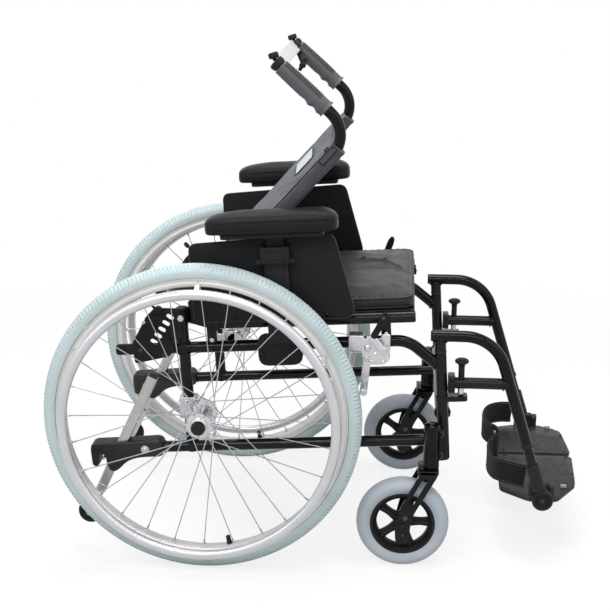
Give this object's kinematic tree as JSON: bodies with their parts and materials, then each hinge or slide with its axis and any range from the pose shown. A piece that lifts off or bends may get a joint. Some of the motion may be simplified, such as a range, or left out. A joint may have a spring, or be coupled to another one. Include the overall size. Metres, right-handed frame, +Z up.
{
  "type": "tilt-in-space wheelchair",
  "caption": "Manual tilt-in-space wheelchair: tubular base, large spoked rear wheels with handrims, front casters, folding backrest, swing-away footrests and anti-tippers.",
  "frame": {"origin": "on the floor, under the middle of the whole chair", "axes": "+X forward, +Y to the sitter's left, +Z up"},
  "size_m": [1.0348, 0.6734, 0.9837],
  "materials": {
    "frame_paint": "gloss black paint",
    "black_plastic": "satin black moulded plastic",
    "grey_plastic": "ribbed dark grey moulded plastic",
    "grip_rubber": "soft dark grey grip",
    "seat_cloth": "dark grey smooth coated cloth with piping",
    "back_cloth": "mid grey woven cloth",
    "webbing": "black woven webbing",
    "bright_metal": "polished silver",
    "cast_metal": "silver cast metal",
    "rim_metal": "light warm silver paint",
    "pale_tyre": "pale blue-grey solid rubber with a shoulder tread",
    "caster_tyre": "light grey solid rubber",
    "arm_pad_vinyl": "black padded vinyl with a seam"
  },
  "bodies": {
    "base": {"middle_cross_tube": "frame_paint", "front_cross_tube": "frame_paint", "right_side_frame": "frame_paint", "right_axle_bracket": "cast_metal", "right_caster_housing": "frame_paint", "right_brake_plate": "cast_metal", "right_antitip_bracket": "black_plastic", "left_side_frame": "frame_paint", "left_axle_bracket": "cast_metal", "left_caster_housing": "frame_paint", "left_brake_plate": "cast_metal", "left_antitip_bracket": "black_plastic"},
    "seat_unit": {"seat_frame": "frame_paint", "seat_cushion": "seat_cloth", "right_skirt_guard": "black_plastic", "right_arm_post": "black_plastic", "left_skirt_guard": "black_plastic", "left_arm_post": "black_plastic"},
    "backrest": {"back_upholstery": "back_cloth", "stiffening_bar": "bright_metal", "right_back_cane": "frame_paint", "right_grip": "grip_rubber", "left_back_cane": "frame_paint", "left_grip": "grip_rubber"},
    "right_armrest_slide": {"right_armrest": "black_plastic", "right_arm_pad": "arm_pad_vinyl"},
    "right_wheel": {"right_tyre": "pale_tyre", "right_rim": "rim_metal", "right_spoked_hub": "bright_metal", "right_handrim": "bright_metal"},
    "right_caster_swivel_fork": {"right_caster_fork": "frame_paint"},
    "right_caster": {"right_caster_tyre": "caster_tyre", "right_caster_wheel": "black_plastic"},
    "right_brake_hand_lever": {"right_brake_lever": "black_plastic"},
    "right_brake_arm": {"right_brake_shoe": "cast_metal"},
    "right_footrest": {"right_hanger": "frame_paint"},
    "right_latch": {"right_latch_knob": "black_plastic"},
    "right_foot_support": {"right_footplate": "grey_plastic", "right_heel_loop": "webbing"},
    "right_antitip_slide": {"right_antitip_bar": "bright_metal"},
    "right_antitip_roller": {"right_antitip_wheel": "black_plastic"},
    "right_tilt_lever": {"right_tilt_lock": "black_plastic"},
    "left_armrest_slide": {"left_armrest": "black_plastic", "left_arm_pad": "arm_pad_vinyl"},
    "left_wheel": {"left_tyre": "pale_tyre", "left_rim": "rim_metal", "left_spoked_hub": "bright_metal", "left_handrim": "bright_metal"},
    "left_caster_swivel_fork": {"left_caster_fork": "frame_paint"},
    "left_caster": {"left_caster_tyre": "caster_tyre", "left_caster_wheel": "black_plastic"},
    "left_brake_hand_lever": {"left_brake_lever": "black_plastic"},
    "left_brake_arm": {"left_brake_shoe": "cast_metal"},
    "left_footrest": {"left_hanger": "frame_paint"},
    "left_latch": {"left_latch_knob": "black_plastic"},
    "left_foot_support": {"left_footplate": "grey_plastic", "left_heel_loop": "webbing"},
    "left_antitip_slide": {"left_antitip_bar": "bright_metal"},
    "left_antitip_roller": {"left_antitip_wheel": "black_plastic"},
    "left_tilt_lever": {"left_tilt_lock": "black_plastic"}
  },
  "joints": [
    {"name": "seat_tilt", "type": "hinge", "parent": "base", "child": "seat_unit", "pos_m": [-0.26002, 0, 0.48411], "axis": [0, -1, 0], "range_deg": [0, 15]},
    {"name": "backrest_fold", "type": "hinge", "parent": "seat_unit", "child": "backrest", "pos_m": [-0.23354, 0, 0.51168], "axis": [0, 1, 0], "range_deg": [-50, 28]},
    {"name": "right_armrest_height", "type": "slide", "parent": "seat_unit", "child": "right_armrest_slide", "axis": [-0.061, 0, 0.9981], "range_m": [0, 0.06]},
    {"name": "right_wheel_spin", "type": "hinge", "parent": "base", "child": "right_wheel", "pos_m": [-0.21391, -0.2785, 0.3035], "axis": [0, 1, 0], "continuous": true},
    {"name": "right_caster_swivel", "type": "hinge", "parent": "base", "child": "right_caster_swivel_fork", "pos_m": [0.22122, -0.2368, 0.2043], "axis": [0, 0, 1], "continuous": true},
    {"name": "right_caster_spin", "type": "hinge", "parent": "right_caster_swivel_fork", "child": "right_caster", "pos_m": [0.16922, -0.2368, 0.0895], "axis": [0, 1, 0], "continuous": true},
    {"name": "right_brake_lever_pull", "type": "hinge", "parent": "base", "child": "right_brake_hand_lever", "pos_m": [0.12835, -0.2468, 0.43996], "axis": [0, -1, 0], "range_deg": [0, 35]},
    {"name": "right_brake_shoe_press", "type": "hinge", "parent": "base", "child": "right_brake_arm", "pos_m": [0.0951, -0.2349, 0.41446], "axis": [0, -1, 0], "range_deg": [0, 30]},
    {"name": "right_hanger_swing", "type": "hinge", "parent": "base", "child": "right_footrest", "pos_m": [0.23344, -0.21, 0.42612], "axis": [0.061, 0, -0.9981], "range_deg": [0, 90]},
    {"name": "right_latch_lift", "type": "slide", "parent": "right_footrest", "child": "right_latch", "axis": [0, 0, 1], "range_m": [0, 0.012], "stiffness_N_per_m": 600, "springref_m": -0.01},
    {"name": "right_footplate_flip", "type": "hinge", "parent": "right_footrest", "child": "right_foot_support", "pos_m": [0.43871, -0.19, 0.14997], "axis": [1, 0, 0], "range_deg": [0, 90]},
    {"name": "right_antitip_height", "type": "slide", "parent": "base", "child": "right_antitip_slide", "axis": [0.4226, 0, 0.9063], "range_m": [-0.03, 0.02]},
    {"name": "right_antitip_wheel_spin", "type": "hinge", "parent": "right_antitip_slide", "child": "right_antitip_roller", "pos_m": [-0.45061, -0.21, 0.07742], "axis": [0, 1, 0], "continuous": true},
    {"name": "right_tilt_lever_turn", "type": "hinge", "parent": "base", "child": "right_tilt_lever", "pos_m": [-0.30636, -0.2308, 0.48829], "axis": [0, 1, 0], "range_deg": [0, 20], "stiffness_Nm_per_rad": 2, "springref_deg": -5.73},
    {"name": "left_armrest_height", "type": "slide", "parent": "seat_unit", "child": "left_armrest_slide", "axis": [-0.061, 0, 0.9981], "range_m": [0, 0.06]},
    {"name": "left_wheel_spin", "type": "hinge", "parent": "base", "child": "left_wheel", "pos_m": [-0.21391, 0.2785, 0.3035], "axis": [0, 1, 0], "continuous": true},
    {"name": "left_caster_swivel", "type": "hinge", "parent": "base", "child": "left_caster_swivel_fork", "pos_m": [0.22122, 0.2368, 0.2043], "axis": [0, 0, 1], "continuous": true},
    {"name": "left_caster_spin", "type": "hinge", "parent": "left_caster_swivel_fork", "child": "left_caster", "pos_m": [0.16922, 0.2368, 0.0895], "axis": [0, 1, 0], "continuous": true},
    {"name": "left_brake_lever_pull", "type": "hinge", "parent": "base", "child": "left_brake_hand_lever", "pos_m": [0.12835, 0.2468, 0.43996], "axis": [0, -1, 0], "range_deg": [0, 35]},
    {"name": "left_brake_shoe_press", "type": "hinge", "parent": "base", "child": "left_brake_arm", "pos_m": [0.0951, 0.2349, 0.41446], "axis": [0, -1, 0], "range_deg": [0, 30]},
    {"name": "left_hanger_swing", "type": "hinge", "parent": "base", "child": "left_footrest", "pos_m": [0.23344, 0.21, 0.42612], "axis": [-0.061, 0, 0.9981], "range_deg": [0, 90]},
    {"name": "left_latch_lift", "type": "slide", "parent": "left_footrest", "child": "left_latch", "axis": [0, 0, 1], "range_m": [0, 0.012], "stiffness_N_per_m": 600, "springref_m": -0.01},
    {"name": "left_footplate_flip", "type": "hinge", "parent": "left_footrest", "child": "left_foot_support", "pos_m": [0.43871, 0.19, 0.14997], "axis": [-1, 0, 0], "range_deg": [0, 90]},
    {"name": "left_antitip_height", "type": "slide", "parent": "base", "child": "left_antitip_slide", "axis": [0.4226, 0, 0.9063], "range_m": [-0.03, 0.02]},
    {"name": "left_antitip_wheel_spin", "type": "hinge", "parent": "left_antitip_slide", "child": "left_antitip_roller", "pos_m": [-0.45061, 0.21, 0.07742], "axis": [0, 1, 0], "continuous": true},
    {"name": "left_tilt_lever_turn", "type": "hinge", "parent": "base", "child": "left_tilt_lever", "pos_m": [-0.30636, 0.2308, 0.48829], "axis": [0, 1, 0], "range_deg": [0, 20], "stiffness_Nm_per_rad": 2, "springref_deg": -5.73}
  ],
  "couplings": [
    {"joint": "right_brake_shoe_press", "follows": "right_brake_lever_pull", "ratio": 0.85714},
    {"joint": "left_brake_shoe_press", "follows": "left_brake_lever_pull", "ratio": 0.85714}
  ]
}
